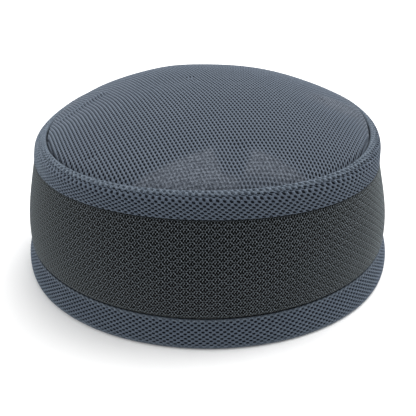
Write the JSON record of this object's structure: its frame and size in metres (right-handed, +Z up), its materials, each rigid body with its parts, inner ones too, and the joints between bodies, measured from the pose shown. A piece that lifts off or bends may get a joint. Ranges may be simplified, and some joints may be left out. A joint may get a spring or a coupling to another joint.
{
  "type": "kufi",
  "caption": "Round brimless kufi cap of airy mesh cloth: a low domed slate crown over a slate shoulder band, a bulging charcoal middle band and a slate hem.",
  "frame": {"origin": "centre of the open rim, on the surface that the cap lies on", "axes": "+Z up through the crown, front of the cap towards -Y, +X to the right of someone who looks at its front"},
  "size_m": [0.1932, 0.1918, 0.0939],
  "materials": {
    "slate_mesh": "dull knitted mesh with small staggered holes, slate blue-grey",
    "charcoal_net": "dull fine hexagonal net, charcoal"
  },
  "bodies": {
    "root": {"crown": "slate_mesh", "shoulder_band": "slate_mesh", "middle_band": "charcoal_net", "hem_band": "slate_mesh"}
  },
  "joints": []
}
